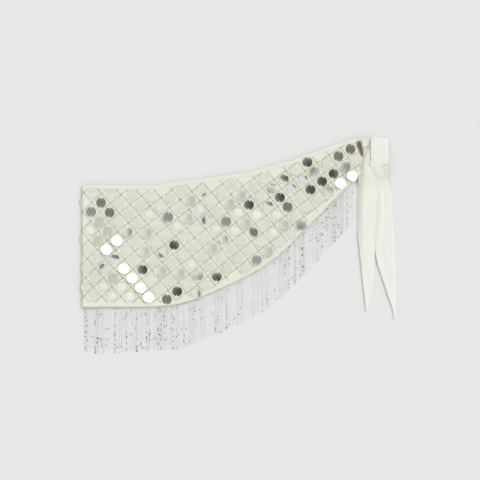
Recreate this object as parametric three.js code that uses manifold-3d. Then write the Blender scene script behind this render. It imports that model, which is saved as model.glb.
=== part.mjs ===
// Sequin hip scarf. A crescent of ivory cloth lies flat on a surface, folded in half at its centre,
// which is the left edge, and tied at the right by its two ends. A beaded fringe hangs from the curved
// hem of both halves. Millimetres, +Z up. The origin is on the surface, at the middle of what it covers.

import * as THREE from "three";
import { mergeVertices } from "three/addons/utils/BufferGeometryUtils.js";
import Module from "manifold-3d";

const wasm = await Module();
wasm.setup();

// Cloth
const cloth = 1.2; // thickness of a wall
const seam = 0.3; // gap between pieces that meet
const layerGap = 1; // air between the two halves
const hemWidth = 5.5; // turned hem along both long edges
const hemRise = 0.5; // what the turned hem adds to the front half
const hemStep = 0.7; // width over which the turned hem ends
const foldRadius = 2.6; // of the middle of the wall where the cloth turns over
const foldEase = 13; // how far the front half takes to sink from the fold
const knotRise = { from: 150, to: 197, height: 2.6 }; // the front half climbs into the knot

// Half of the crescent, from the fold to the knot: where its top edge and its hem lie at each x
const panelRows = [
  { x: -237.6, top: 91.5, hem: -92 },
  { x: -196, top: 92.2, hem: -92 },
  { x: -150, top: 91.4, hem: -91.8 },
  { x: -120, top: 91.8, hem: -91 },
  { x: -104, top: 95.3, hem: -89.5 },
  { x: -84, top: 98.5, hem: -85.5 },
  { x: -56, top: 101.5, hem: -76 },
  { x: -28, top: 106, hem: -64 },
  { x: 0, top: 109.8, hem: -51 },
  { x: 20, top: 112, hem: -40.5 },
  { x: 40, top: 119, hem: -28.5 },
  { x: 64, top: 125.5, hem: -9.5 },
  { x: 80, top: 129.5, hem: 6 },
  { x: 96, top: 136.5, hem: 22 },
  { x: 116, top: 143, hem: 42 },
  { x: 140, top: 152, hem: 66.5 },
  { x: 168, top: 160.5, hem: 94.5 },
  { x: 184, top: 163.6, hem: 109 },
  { x: 197.9, top: 162.3, hem: 123.5 },
];
const panelSteps = 40; // sections along each half
const foldSteps = 7; // sections round the fold
const acrossSteps = 9; // cells between the two turned hems

// Soft folds of the front half, each along a line from its foot to its head
const softFolds = [
  { x1: 187, y1: 132, x2: 182, y2: 159, width: 3.6, height: -2.2 },
  { x1: 192, y1: 146, x2: 190, y2: 161, width: 4, height: 1.3 },
  { x1: 172, y1: 118, x2: 175, y2: 156, width: 4.5, height: 1.2 },
  { x1: 118, y1: 96, x2: 176, y2: 144, width: 9, height: 1 },
  { x1: 84, y1: 64, x2: 162, y2: 126, width: 8, height: 0.8 },
  { x1: 88, y1: 127, x2: 168, y2: 153, width: 7, height: 0.7 },
  { x1: -62, y1: -48, x2: -112, y2: 82, width: 12, height: 0.6 },
  { x1: 14, y1: -20, x2: 44, y2: 104, width: 11, height: 0.6 },
];

// Fringe: a tape just below each hem, and strands that hang from it
const tape = { width: 2, thick: 1.6, away: 0.45, steps: 64 };
const strandCount = 122; // on each half
const strandSpan = { from: -235.8, to: 176 };
const strandWidth = 1.3;
const strandLift = 0.35; // lowest point of a strand above the surface
const strandRows = [
  { x: -240, length: 69.5 },
  { x: -200, length: 71.4 },
  { x: -150, length: 68 },
  { x: -60, length: 69 },
  { x: 20, length: 69.5 },
  { x: 100, length: 69 },
  { x: 150, length: 66 },
  { x: 180, length: 65 },
];
const strandUneven = 1.2; // longest and shortest strands differ from the rows by this
const strandDrop = { least: 2, slant: 8, most: 40 }; // how far a strand takes to come down

// Knot: the band that wraps it, from its left mouth to its right one
const bandWall = 1.6;
const bandRows = [
  { x: 198.2, top: 162.6, bottom: 121.4, height: 11.4 },
  { x: 202, top: 164.2, bottom: 120.4, height: 12 },
  { x: 212, top: 164.4, bottom: 120.2, height: 12 },
  { x: 219, top: 164, bottom: 121, height: 11.8 },
  { x: 223, top: 163, bottom: 123, height: 11.4 },
  { x: 225.4, top: 161, bottom: 126, height: 10.6 },
];
const bandSides = 28;
const bandRound = { edge: 0.5, face: 0.6, flat: 1.06 }; // how squarely its section turns, and how flat it is
const core = { left: 198.2, right: 224.2, sections: [0, 0.12, 0.4, 0.7, 0.9, 1], clear: 0.5 };

// Tails of the tie, from the tip up: both edges, the height of the underside and of the thickest fold
const leftTailRows = [
  { y: -99.7, left: 192.7, right: 193.9, low: 0, thick: 1.2 },
  { y: -88, left: 191, right: 196.9, low: 0, thick: 1.6 },
  { y: -74.5, left: 189.6, right: 200.9, low: 0, thick: 2 },
  { y: -58, left: 187.7, right: 203.4, low: 0, thick: 2.3 },
  { y: -33.5, left: 185, right: 205.9, low: 0, thick: 2.6 },
  { y: -11, left: 182.6, right: 207, low: 0, thick: 2.8 },
  { y: 30, left: 178.6, right: 212, low: 0, thick: 2.8 },
  { y: 57, left: 177.9, right: 213.5, low: 0, thick: 2.8 },
  { y: 84, left: 178.6, right: 212.5, low: 0, thick: 2.6 },
  { y: 99, left: 180, right: 210, low: 2.6, thick: 2.4 },
  { y: 109, left: 180.8, right: 208, low: 6, thick: 2.2 },
  { y: 118, left: 181.6, right: 206, low: 7.4, thick: 2 },
  { y: 119.8, left: 182, right: 197.8, low: 7.6, thick: 2 },
  { y: 131, left: 184.7, right: 197.8, low: 7.8, thick: 2 },
  { y: 143, left: 189.9, right: 197.8, low: 7.9, thick: 1.8 },
  { y: 150, left: 195.6, right: 197.8, low: 8, thick: 1.4 },
];
const rightTailRows = [
  { y: -111, left: 234.6, right: 235.8, low: 0, thick: 1.2 },
  { y: -94, left: 232, right: 237.4, low: 0, thick: 1.6 },
  { y: -76, left: 225.6, right: 237.5, low: 0, thick: 2 },
  { y: -55, left: 218.9, right: 237.4, low: 0, thick: 2.3 },
  { y: -33.5, left: 211.6, right: 236.8, low: 0, thick: 2.5 },
  { y: -10.5, left: 206.5, right: 236.1, low: 0, thick: 2.6 },
  { y: 6.7, left: 206.5, right: 235.6, low: 0, thick: 2.6 },
  { y: 32.5, left: 208.8, right: 233.6, low: 0, thick: 2.6 },
  { y: 57, left: 209.8, right: 231.9, low: 0, thick: 2.5 },
  { y: 81.7, left: 211.2, right: 230.3, low: 0.4, thick: 2.4 },
  { y: 98, left: 212, right: 225.2, low: 2.4, thick: 2.2 },
  { y: 108, left: 207.4, right: 224, low: 6.2, thick: 2 },
  { y: 119.6, left: 201.4, right: 223, low: 9.8, thick: 1.8 },
];
const tailSteps = 28;
const tailCells = 8;
const tailCrowding = 1.4; // sections lie closer together towards the knot
const tailEdge = 1.1; // thickness at a tail's two long edges
const tailFolds = [
  { at: 0.2, width: 0.13, share: 1 },
  { at: 0.52, width: 0.12, share: 0.55 },
  { at: 0.82, width: 0.1, share: 0.8 },
];
const overlapEase = 7; // the right tail comes down beside the left one within this distance
const tailRise = { from: 16, to: 5 }; // the left tail climbs this far below the hem that it crosses

// The value of a column at a place along a table, on a smooth curve through its rows
function valueAt(rows, key, column, at) {
  const last = rows.length - 1;
  let i = 0;
  while (i < last - 1 && rows[i + 1][key] <= at) i += 1;
  const slope = (n) => {
    const before = rows[Math.max(n - 1, 0)];
    const after = rows[Math.min(n + 1, last)];
    return (after[column] - before[column]) / (after[key] - before[key]);
  };
  const span = rows[i + 1][key] - rows[i][key];
  const t = THREE.MathUtils.clamp((at - rows[i][key]) / span, 0, 1);
  const rise = t * t * (3 - 2 * t);
  const start = rows[i][column] * (1 - rise) + rows[i + 1][column] * rise;
  const bend = t * (1 - t) * (1 - t) * slope(i) - t * t * (1 - t) * slope(i + 1);
  return start + span * bend;
}

function smooth(from, to, value) {
  return THREE.MathUtils.smoothstep(value, from, to);
}

function bump(distance, width) {
  return Math.exp(-((distance / width) ** 2));
}

function meshOf(positions, triangles) {
  const geometry = new THREE.BufferGeometry();
  geometry.setAttribute("position", new THREE.Float32BufferAttribute(positions, 3));
  geometry.setIndex(triangles);
  return geometry;
}

// A closed wall between two grids of points, the first on the side that i x j points to.
// A round wall joins its last row to its first.
function wallGeometry(outer, inner, round = false) {
  const rows = outer.length;
  const columns = outer[0].length;
  const positions = [...outer.flat(), ...inner.flat()].flatMap((p) => [p.x, p.y, p.z]);
  const top = (i, j) => (i % rows) * columns + j;
  const under = (i, j) => rows * columns + top(i, j);
  const triangles = [];
  const quad = (a, b, c, d) => triangles.push(a, b, c, a, c, d);
  const cells = round ? rows : rows - 1;
  for (let i = 0; i < cells; i += 1) {
    for (let j = 0; j < columns - 1; j += 1) {
      quad(top(i, j), top(i + 1, j), top(i + 1, j + 1), top(i, j + 1));
      quad(under(i, j), under(i, j + 1), under(i + 1, j + 1), under(i + 1, j));
    }
    quad(top(i, 0), under(i, 0), under(i + 1, 0), top(i + 1, 0));
    const end = columns - 1;
    quad(top(i, end), top(i + 1, end), under(i + 1, end), under(i, end));
  }
  if (!round) {
    const end = rows - 1;
    for (let j = 0; j < columns - 1; j += 1) {
      quad(top(0, j), top(0, j + 1), under(0, j + 1), under(0, j));
      quad(top(end, j), under(end, j), under(end, j + 1), top(end, j + 1));
    }
  }
  return meshOf(positions, triangles);
}

function hemAt(x) {
  return valueAt(panelRows, "x", "hem", x);
}

function topAt(x) {
  return valueAt(panelRows, "x", "top", x);
}

function softFoldAt(x, y, fold) {
  const along = new THREE.Vector2(fold.x2 - fold.x1, fold.y2 - fold.y1);
  const from = new THREE.Vector2(x - fold.x1, y - fold.y1);
  const t = THREE.MathUtils.clamp(from.dot(along) / along.lengthSq(), 0, 1);
  const away = from.sub(along.clone().multiplyScalar(t)).length();
  return fold.height * bump(away, fold.width);
}

// Height of the middle of the front half's wall
function frontHeight(x, y) {
  const lying = cloth * 1.5 + layerGap;
  const foldTop = cloth / 2 + 2 * foldRadius;
  const past = Math.max(x - panelRows[0].x - cloth / 2 - foldRadius, 0);
  const roll = (foldTop - lying) * bump(past, foldEase);
  const climb = knotRise.height * smooth(knotRise.from, knotRise.to, x);
  return lying + roll + climb + softFolds.reduce((sum, fold) => sum + softFoldAt(x, y, fold), 0);
}

// Places of the points across the panel, with the two turned hems first and last
function acrossPlaces(x) {
  const hem = hemAt(x);
  const top = topAt(x);
  const from = hem + hemWidth + hemStep;
  const to = top - hemWidth - hemStep;
  const places = [{ y: hem, rise: hemRise }, { y: hem + hemWidth, rise: hemRise }];
  for (let j = 0; j <= acrossSteps; j += 1) {
    places.push({ y: from + ((to - from) * j) / acrossSteps, rise: 0 });
  }
  places.push({ y: top - hemWidth, rise: hemRise }, { y: top, rise: hemRise });
  return places;
}

// The shell: one wall that runs from the knot along the back half, round the fold and along the front
function shellGeometry() {
  const outer = [];
  const inner = [];
  const left = panelRows[0].x + cloth / 2 + foldRadius;
  const right = panelRows.at(-1).x;
  const add = (x, pointOf) => {
    const places = acrossPlaces(x);
    outer.push(places.map((place) => pointOf(place, 1)));
    inner.push(places.map((place) => pointOf(place, -1)));
  };
  for (let i = 0; i < panelSteps; i += 1) {
    const x = right + ((left - right) * i) / panelSteps;
    add(x, ({ y }, side) => new THREE.Vector3(x, y, (cloth / 2) * (1 - side)));
  }
  for (let i = 0; i <= foldSteps; i += 1) {
    const angle = (Math.PI * i) / foldSteps;
    add(left - foldRadius * Math.sin(angle), ({ y }, side) => {
      const radius = foldRadius + (side * cloth) / 2;
      const z = cloth / 2 + foldRadius - radius * Math.cos(angle);
      return new THREE.Vector3(left - radius * Math.sin(angle), y, z);
    });
  }
  for (let i = 1; i <= panelSteps; i += 1) {
    const x = left + ((right - left) * i) / panelSteps;
    add(x, ({ y, rise }, side) => {
      const half = side > 0 ? cloth / 2 + rise * smooth(left, left + foldEase, x) : -cloth / 2;
      return new THREE.Vector3(x, y, frontHeight(x, y) + half);
    });
  }
  return wallGeometry(outer, inner);
}

function solidOf(geometry) {
  const bare = geometry.clone();
  bare.deleteAttribute("normal");
  bare.deleteAttribute("uv");
  const merged = mergeVertices(bare, 1e-4);
  const triVerts = new Uint32Array(merged.index.array);
  const vertProperties = merged.attributes.position.array;
  return new wasm.Manifold(new wasm.Mesh({ numProp: 3, vertProperties, triVerts }));
}

function geometryOf(solid) {
  const mesh = solid.getMesh();
  return meshOf(Array.from(mesh.vertProperties), Array.from(mesh.triVerts));
}

// The tape below a hem, whose height is given at each x
function tapeGeometry(heightAt) {
  const outer = [];
  const inner = [];
  const from = strandSpan.from - strandWidth;
  const to = strandSpan.to + strandWidth;
  for (let i = 0; i <= tape.steps; i += 1) {
    const x = from + ((to - from) * i) / tape.steps;
    const slope = (hemAt(x + 1) - hemAt(x - 1)) / 2;
    const away = new THREE.Vector2(slope, -1).normalize();
    const z = heightAt(x);
    const pointAt = (distance, side) => {
      const y = hemAt(x) + away.y * distance;
      return new THREE.Vector3(x + away.x * distance, y, z + (side * tape.thick) / 2);
    };
    const far = tape.away + tape.width;
    outer.push([pointAt(far, 1), pointAt(tape.away, 1)]);
    inner.push([pointAt(far, -1), pointAt(tape.away, -1)]);
  }
  return wallGeometry(outer, inner);
}

// A three-sided strand along a short line of points, all at one x
function strandSolid(points) {
  const corners = [Math.PI / 2, (Math.PI * 7) / 6, (Math.PI * 11) / 6];
  const radius = strandWidth / Math.sqrt(3);
  const positions = points.flatMap((p) =>
    corners.flatMap((a) => [p.x + radius * Math.cos(a), p.y, p.z + radius * Math.sin(a)]),
  );
  const triangles = [0, 2, 1];
  for (let i = 0; i < points.length - 1; i += 1) {
    for (let k = 0; k < 3; k += 1) {
      const a = i * 3 + k;
      const b = i * 3 + ((k + 1) % 3);
      triangles.push(a, b, b + 3, a, b + 3, a + 3);
    }
  }
  const end = (points.length - 1) * 3;
  triangles.push(end, end + 1, end + 2);
  return solidOf(meshOf(positions, triangles));
}

// One stretch of fringe: its strands fused to its tape, shifted along by part of their spacing
function fringeGeometry(heightAt, shift) {
  const spacing = (strandSpan.to - strandSpan.from) / strandCount;
  const radius = strandWidth / Math.sqrt(3);
  const resting = strandLift + radius / 2;
  const strands = [];
  for (let i = 0; i < strandCount; i += 1) {
    const x = strandSpan.from + spacing * (i + shift);
    const slope = (hemAt(x + 1) - hemAt(x - 1)) / 2;
    const root = hemAt(x) - (tape.away + tape.width / 2) * Math.hypot(1, slope);
    const uneven = strandUneven * Math.sin(i * 2.4 + shift * 5);
    const tip = hemAt(x) - valueAt(strandRows, "x", "length", x) - uneven;
    const z = heightAt(x);
    const drop = Math.min(strandDrop.least + strandDrop.slant * (z - resting), strandDrop.most);
    const points = [new THREE.Vector3(x, root, z)];
    if (z > tape.thick) points.push(new THREE.Vector3(x, root - drop, resting));
    points.push(new THREE.Vector3(x, tip, resting));
    strands.push(strandSolid(points));
  }
  return geometryOf(wasm.Manifold.union([solidOf(tapeGeometry(heightAt)), ...strands]));
}

// Points of a flattened round section in the YZ plane, drawn in by an inset
function bandSection(row, inset) {
  const halfY = (row.top - row.bottom) / 2 - inset;
  const halfZ = row.height / 2 - inset;
  const middle = (row.top + row.bottom) / 2;
  const points = [];
  for (let k = 0; k < bandSides; k += 1) {
    const angle = (2 * Math.PI * (k + 0.5)) / bandSides;
    const cos = Math.cos(angle);
    const sin = Math.sin(angle);
    const out = Math.sign(cos) * Math.abs(cos) ** bandRound.edge;
    const up = Math.sign(sin) * Math.min(Math.abs(sin) ** bandRound.face * bandRound.flat, 1);
    points.push(new THREE.Vector3(row.x, middle + halfY * out, row.height / 2 + halfZ * up));
  }
  return points;
}

function transpose(rows) {
  return rows[0].map((_, k) => rows.map((row) => row[k]));
}

function bandGeometry() {
  const outer = transpose(bandRows.map((row) => bandSection(row, 0)));
  const inner = transpose(bandRows.map((row) => bandSection(row, bandWall)));
  return wallGeometry(outer, inner, true);
}

// The gathered ends inside the band, as one rounded solid that is clear of the band
function coreGeometry() {
  const rows = core.sections.map((t) => {
    const x = THREE.MathUtils.lerp(core.left, core.right, t);
    const at = (column) => valueAt(bandRows, "x", column, Math.max(x, bandRows[0].x));
    return { x, top: at("top"), bottom: at("bottom"), height: at("height") };
  });
  const rings = rows.map((row) => bandSection(row, bandWall + core.clear));
  const positions = rings.flat().flatMap((p) => [p.x, p.y, p.z]);
  const ends = [rings[0], rings.at(-1)].map((ring) => {
    const centre = ring.reduce((sum, p) => sum.add(p), new THREE.Vector3());
    return centre.divideScalar(bandSides);
  });
  ends.forEach((p) => positions.push(p.x, p.y, p.z));
  const triangles = [];
  const first = rings.length * bandSides;
  for (let k = 0; k < bandSides; k += 1) {
    const next = (k + 1) % bandSides;
    for (let i = 0; i < rings.length - 1; i += 1) {
      const a = i * bandSides;
      const b = a + bandSides;
      triangles.push(a + k, a + next, b + next, a + k, b + next, b + k);
    }
    const end = (rings.length - 1) * bandSides;
    triangles.push(first, next, k, first + 1, end + k, end + next);
  }
  return meshOf(positions, triangles);
}

// Thickness of a tail at a share of its width: thin edges and soft lengthwise folds
function tailThickness(share, thick) {
  const folds = tailFolds.map((fold) => fold.share * bump(share - fold.at, fold.width));
  return tailEdge + (thick - tailEdge) * Math.min(folds.reduce((sum, f) => sum + f, 0), 1);
}

function tailPoint(rows, y, share) {
  const left = valueAt(rows, "y", "left", y);
  const right = valueAt(rows, "y", "right", y);
  return { x: left + (right - left) * share, y };
}

// Underside of the left tail: over the corner of the front half, and then down to the surface
function leftTailLow(x, y) {
  const own = Math.max(valueAt(leftTailRows, "y", "low", y), 0);
  const hem = hemAt(Math.min(x, panelRows.at(-1).x));
  const over = smooth(hem - tailRise.from, hem - tailRise.to, y);
  const front = frontHeight(x, y) + cloth / 2 + hemRise + 2 * seam;
  return Math.max(own, front * over);
}

function leftTailTop(y, share) {
  const { x } = tailPoint(leftTailRows, y, share);
  return leftTailLow(x, y) + tailThickness(share, valueAt(leftTailRows, "y", "thick", y));
}

// Underside of the right tail: on the left tail where it covers it, and down on the surface beyond
function rightTailLow(x, y) {
  const edge = valueAt(leftTailRows, "y", "right", y);
  const left = valueAt(leftTailRows, "y", "left", y);
  const share = THREE.MathUtils.clamp((x - left) / (edge - left), 0, 1);
  const reach = y > leftTailRows[0].y ? 1 - smooth(edge + 0.4, edge + overlapEase, x) : 0;
  const own = Math.max(valueAt(rightTailRows, "y", "low", y), 0);
  return Math.max(own, (leftTailTop(y, share) + 2 * seam) * reach);
}

function tailGeometry(rows, lowAt) {
  const outer = [];
  const inner = [];
  const from = rows[0].y;
  const to = rows.at(-1).y;
  for (let i = 0; i <= tailSteps; i += 1) {
    const y = to + (from - to) * (i / tailSteps) ** tailCrowding;
    const places = [];
    for (let j = 0; j <= tailCells; j += 1) {
      const share = j / tailCells;
      const place = tailPoint(rows, y, share);
      const low = lowAt(place.x, y);
      places.push({ ...place, low, high: low + tailThickness(share, valueAt(rows, "y", "thick", y)) });
    }
    outer.push(places.map((p) => new THREE.Vector3(p.x, p.y, p.high)));
    inner.push(places.map((p) => new THREE.Vector3(p.x, p.y, p.low)));
  }
  return wallGeometry(outer, inner);
}

const ivory = new THREE.MeshStandardMaterial({ color: 0xe9e8d6, roughness: 0.8, side: THREE.DoubleSide });
const tieCloth = new THREE.MeshStandardMaterial({ color: 0xeceadd, roughness: 0.7 });
const glass = new THREE.MeshStandardMaterial({ color: 0xd8d8dc, roughness: 0.15, metalness: 0.3 });

function piece(name, geometry, material) {
  const mesh = new THREE.Mesh(geometry, material);
  mesh.name = name;
  geometry.computeVertexNormals();
  return mesh;
}

const frontTapeHeight = (x) => frontHeight(x, hemAt(x));
const backTapeHeight = () => seam / 2 + tape.thick / 2;

const scarf = new THREE.Group();
scarf.add(
  piece("shell", shellGeometry(), ivory),
  piece("fringe_front", fringeGeometry(frontTapeHeight, 0.25), glass),
  piece("fringe_back", fringeGeometry(backTapeHeight, 0.75), glass),
  piece("knot_band", bandGeometry(), tieCloth),
  piece("knot_core", coreGeometry(), tieCloth),
  piece("tie_tail_left", tailGeometry(leftTailRows, leftTailLow), tieCloth),
  piece("tie_tail_right", tailGeometry(rightTailRows, rightTailLow), tieCloth),
);

export default scarf;
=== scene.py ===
import math

import bpy
import numpy as np
from mathutils.geometry import delaunay_2d_cdt
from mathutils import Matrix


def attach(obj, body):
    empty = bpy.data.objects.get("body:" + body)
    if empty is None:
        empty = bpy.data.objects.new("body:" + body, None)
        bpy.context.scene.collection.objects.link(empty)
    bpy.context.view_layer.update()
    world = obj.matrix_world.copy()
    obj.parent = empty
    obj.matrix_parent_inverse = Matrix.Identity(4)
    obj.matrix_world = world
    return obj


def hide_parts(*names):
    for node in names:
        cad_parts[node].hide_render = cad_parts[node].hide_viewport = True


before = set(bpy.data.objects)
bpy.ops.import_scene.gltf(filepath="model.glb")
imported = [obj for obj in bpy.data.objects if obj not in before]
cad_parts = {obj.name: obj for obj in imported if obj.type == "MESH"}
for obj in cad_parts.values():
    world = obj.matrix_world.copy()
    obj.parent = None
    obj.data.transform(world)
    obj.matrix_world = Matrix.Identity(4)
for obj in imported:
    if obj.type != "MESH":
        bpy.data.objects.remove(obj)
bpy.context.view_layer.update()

mm = 0.001
chance = np.random.default_rng(41)


def smoothstep(start, end, value):
    t = np.clip((value - start) / (end - start), 0, 1)
    return t * t * (3 - 2 * t)


def bump(distance, width):
    return np.exp(-((distance / width) ** 2))


def unit(vectors):
    return vectors / np.linalg.norm(vectors, axis=-1, keepdims=True)


# Angles all the way round, in equal steps
def roundAngles(count, shift=0.0):
    return 2 * math.pi * (np.arange(count) + shift) / count


def joined(*grids):
    return np.concatenate([grid.reshape(-1, 3) for grid in grids])


# One dictionary for each row of a table
def named(names, *rows):
    return [dict(zip(names.split(), row)) for row in rows]


# A smooth curve through values at keys, which runs on straight past both ends
def curveThrough(keys, values, at):
    slopes = np.gradient(values, keys)
    at = np.asarray(at, float)
    i = np.clip(np.searchsorted(keys, at) - 1, 0, len(keys) - 2)
    span = keys[i + 1] - keys[i]
    t = (at - keys[i]) / span
    inside = np.clip(t, 0, 1)
    rise = inside * inside * (3 - 2 * inside)
    bend = inside * (1 - inside) ** 2 * slopes[i] - inside**2 * (1 - inside) * slopes[i + 1]
    past = np.where(t < 0, t * slopes[i], np.where(t > 1, (t - 1) * slopes[i + 1], 0))
    return values[i] * (1 - rise) + values[i + 1] * rise + span * (bend + past)


# Slow uneven waves, the same on each run
def ripples(x, y, size, seed, count=7):
    draw = np.random.default_rng(seed)
    total = np.zeros(np.broadcast(x, y).shape)
    for turn, start, pace in draw.uniform(0, 1, (count, 3)):
        angle = turn * 2 * math.pi
        wave = (x * math.cos(angle) + y * math.sin(angle)) * (0.6 + pace) * 2 * math.pi / size
        total += np.sin(wave + start * 2 * math.pi)
    return total / math.sqrt(count)


def cadPoints(nodeName):
    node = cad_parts[nodeName]
    flat = np.empty(len(node.data.vertices) * 3)
    node.data.vertices.foreach_get("co", flat)
    turn = np.array(node.matrix_world)
    return (flat.reshape(-1, 3) @ turn[:3, :3].T + turn[:3, 3]) / mm


# The points of a solid, grouped by the sections that it was built from
def sectionsOf(points, axis):
    keys = np.unique(np.round(points[:, axis], 2))
    keys = keys[np.append(True, np.diff(keys) > 0.05)]
    return keys, [points[np.abs(points[:, axis] - key) < 0.03] for key in keys]


def newPiece(name, points, faces, material, stands=(), smoothAngle=None, shades=None):
    mesh = bpy.data.meshes.new(name)
    mesh.from_pydata((np.asarray(points).reshape(-1, 3) * mm).tolist(), [], faces.tolist())
    mesh.validate()
    mesh.shade_smooth()
    if smoothAngle is not None:
        mesh.set_sharp_from_angle(angle=math.radians(smoothAngle))
    for shadeName, values in (shades or {}).items():
        layer = mesh.color_attributes.new(shadeName, "FLOAT_COLOR", "POINT")
        layer.data.foreach_set("color", np.asarray(values, np.float32).ravel())
    mesh.materials.append(material)
    piece = bpy.data.objects.new(name, mesh)
    bpy.context.scene.collection.objects.link(piece)
    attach(piece, "root")
    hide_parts(*stands)
    return piece


# A closed thin wall between two grids of points; a round one joins its last row to its first
def wallFaces(rows, columns, isRound=False):
    k = np.arange(rows if isRound else rows - 1)
    i, j = (part.ravel() for part in np.meshgrid(k, np.arange(columns - 1), indexing="ij"))

    def upper(a, b):
        return (a % rows) * columns + b

    def under(a, b):
        return rows * columns + upper(a, b)

    faces = [
        np.stack([upper(i, j), upper(i + 1, j), upper(i + 1, j + 1), upper(i, j + 1)], 1),
        np.stack([under(i, j), under(i, j + 1), under(i + 1, j + 1), under(i + 1, j)], 1),
    ]
    last = columns - 1
    faces.append(np.stack([upper(k, 0), under(k, 0), under(k + 1, 0), upper(k + 1, 0)], 1))
    faces.append(np.stack([upper(k, last), upper(k + 1, last), under(k + 1, last), under(k, last)], 1))
    if not isRound:
        k = np.arange(columns - 1)
        end = rows - 1
        faces.append(np.stack([upper(0, k), upper(0, k + 1), under(0, k + 1), under(0, k)], 1))
        faces.append(np.stack([upper(end, k), under(end, k), under(end, k + 1), upper(end, k + 1)], 1))
    return np.concatenate(faces)


# Many closed tubes at once: paths is tubes x points x 3, and each tube ends in a tip
def manyTubes(paths, widths, thicks, up, sides=6):
    count, steps = paths.shape[:2]
    along = unit(np.gradient(paths, axis=1))
    side = unit(np.cross(along, up))
    over = np.cross(side, along)
    angles = roundAngles(sides, 0.5)
    widths = np.broadcast_to(widths, (count, steps))[:, 1:-1, None, None]
    thicks = np.broadcast_to(thicks, (count, steps))[:, 1:-1, None, None]
    rings = (
        paths[:, 1:-1, None]
        + side[:, 1:-1, None] * widths * np.cos(angles)[:, None]
        + over[:, 1:-1, None] * thicks * np.sin(angles)[:, None]
    )
    rings = rings.reshape(count, -1, 3)
    points = np.concatenate([paths[:, :1], rings, paths[:, -1:]], axis=1)
    k = np.arange(sides)
    after = (k + 1) % sides
    tip = 1 + (steps - 2) * sides
    faces = [np.stack([np.zeros_like(k), 1 + after, 1 + k], 1)]
    for ring in range(steps - 3):
        a = 1 + ring * sides
        faces.append(np.stack([a + k, a + after, a + sides + after], 1))
        faces.append(np.stack([a + k, a + sides + after, a + sides + k], 1))
    a = 1 + (steps - 3) * sides
    faces.append(np.stack([a + k, a + after, np.full_like(k, tip)], 1))
    faces = np.concatenate(faces)
    offsets = np.arange(count)[:, None, None] * (tip + 1)
    return points.reshape(-1, 3), (faces + offsets).reshape(-1, 3), tip + 1


# Beads at centres, each a short barrel along its thread
def manyBeads(centres, along, radii, lengths, sides=6, waist=0.55):
    half = (unit(along) * np.reshape(lengths, (-1, 1)) / 2)[:, None]
    places = np.array([-1, -waist, waist, 1])[:, None]
    paths = centres[:, None] + half * places
    radii = np.reshape(radii, (-1, 1))
    flat = np.abs(unit(along)[:, 2:3]) < 0.9
    up = np.where(flat, [[0.0, 0.0, 1.0]], [[1.0, 0.0, 0.0]])[:, None]
    return manyTubes(paths, radii, radii, up, sides)


# A material with its plain values set on the shader's own sockets
def newMaterial(name, **values):
    material = bpy.data.materials.new(name)
    material.use_nodes = True
    shader = material.node_tree.nodes["Principled BSDF"]
    for socket, value in values.items():
        shader.inputs[socket.replace("_", " ")].default_value = value
    return material, material.node_tree, shader


def addNode(tree, kind, links=None, **settings):
    node = tree.nodes.new("ShaderNode" + kind)
    for name, value in settings.items():
        if hasattr(node, name):
            setattr(node, name, value)
        else:
            node.inputs[name.replace("_", " ")].default_value = value
    for name, source in (links or {}).items():
        tree.links.new(source, node.inputs[name])
    return node


def mixColour(tree, factor, first, second, blend="MIX"):
    node = addNode(tree, "Mix", data_type="RGBA", blend_type=blend)
    for socket, value in ((node.inputs[0], factor), (node.inputs[6], first), (node.inputs[7], second)):
        if isinstance(value, bpy.types.NodeSocket):
            tree.links.new(value, socket)
        else:
            socket.default_value = value
    return node.outputs[2]


def rampOf(tree, source, stops):
    ramp = addNode(tree, "ValToRGB", {"Fac": source})
    ends = ramp.color_ramp.elements
    while len(ends) < len(stops):
        ends.new(0.5)
    for end, (place, colour) in zip(ends, stops):
        end.position = place
        end.color = (*colour, 1) if len(colour) == 3 else colour
    return ramp.outputs["Color"]


def noiseOf(tree, scale, detail, where=None):
    if where is None:
        where = addNode(tree, "TexCoord").outputs["Object"]
    return addNode(tree, "TexNoise", {"Vector": where}, Scale=scale, Detail=detail).outputs["Fac"]


def addRelief(tree, shader, height, strength, distance):
    relief = addNode(tree, "Bump", {"Height": height}, Strength=strength, Distance=distance)
    tree.links.new(relief.outputs["Normal"], shader.inputs["Normal"])


def addRoughness(tree, shader, pattern, low, high):
    rough = rampOf(tree, pattern, [(0.3, (low,) * 3), (0.7, (high,) * 3)])
    tree.links.new(rough, shader.inputs["Roughness"])


print("camera, light and floor")
studio = {
    "cameraAt": (1.2, 9.1, 2200),
    "viewWidth": 727.2,  # what the picture shows at the surface, 480 pixels at 1.515 mm
    "sensor": 36,
    "seesTo": 60,  # metres
    "floorSize": 24000,
    "floorZ": -0.4,
    "floorColour": (0.80, 0.80, 0.80, 1),
    "lampFrom": (900, 800, 1500),  # the direction that the soft light comes from
    "lampSpread": 34,  # degrees, so its shadows are soft
    "lampPower": 1.05,
    "lampColour": (1.0, 0.985, 0.965),
    "domePower": 1.0,
}


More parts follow.
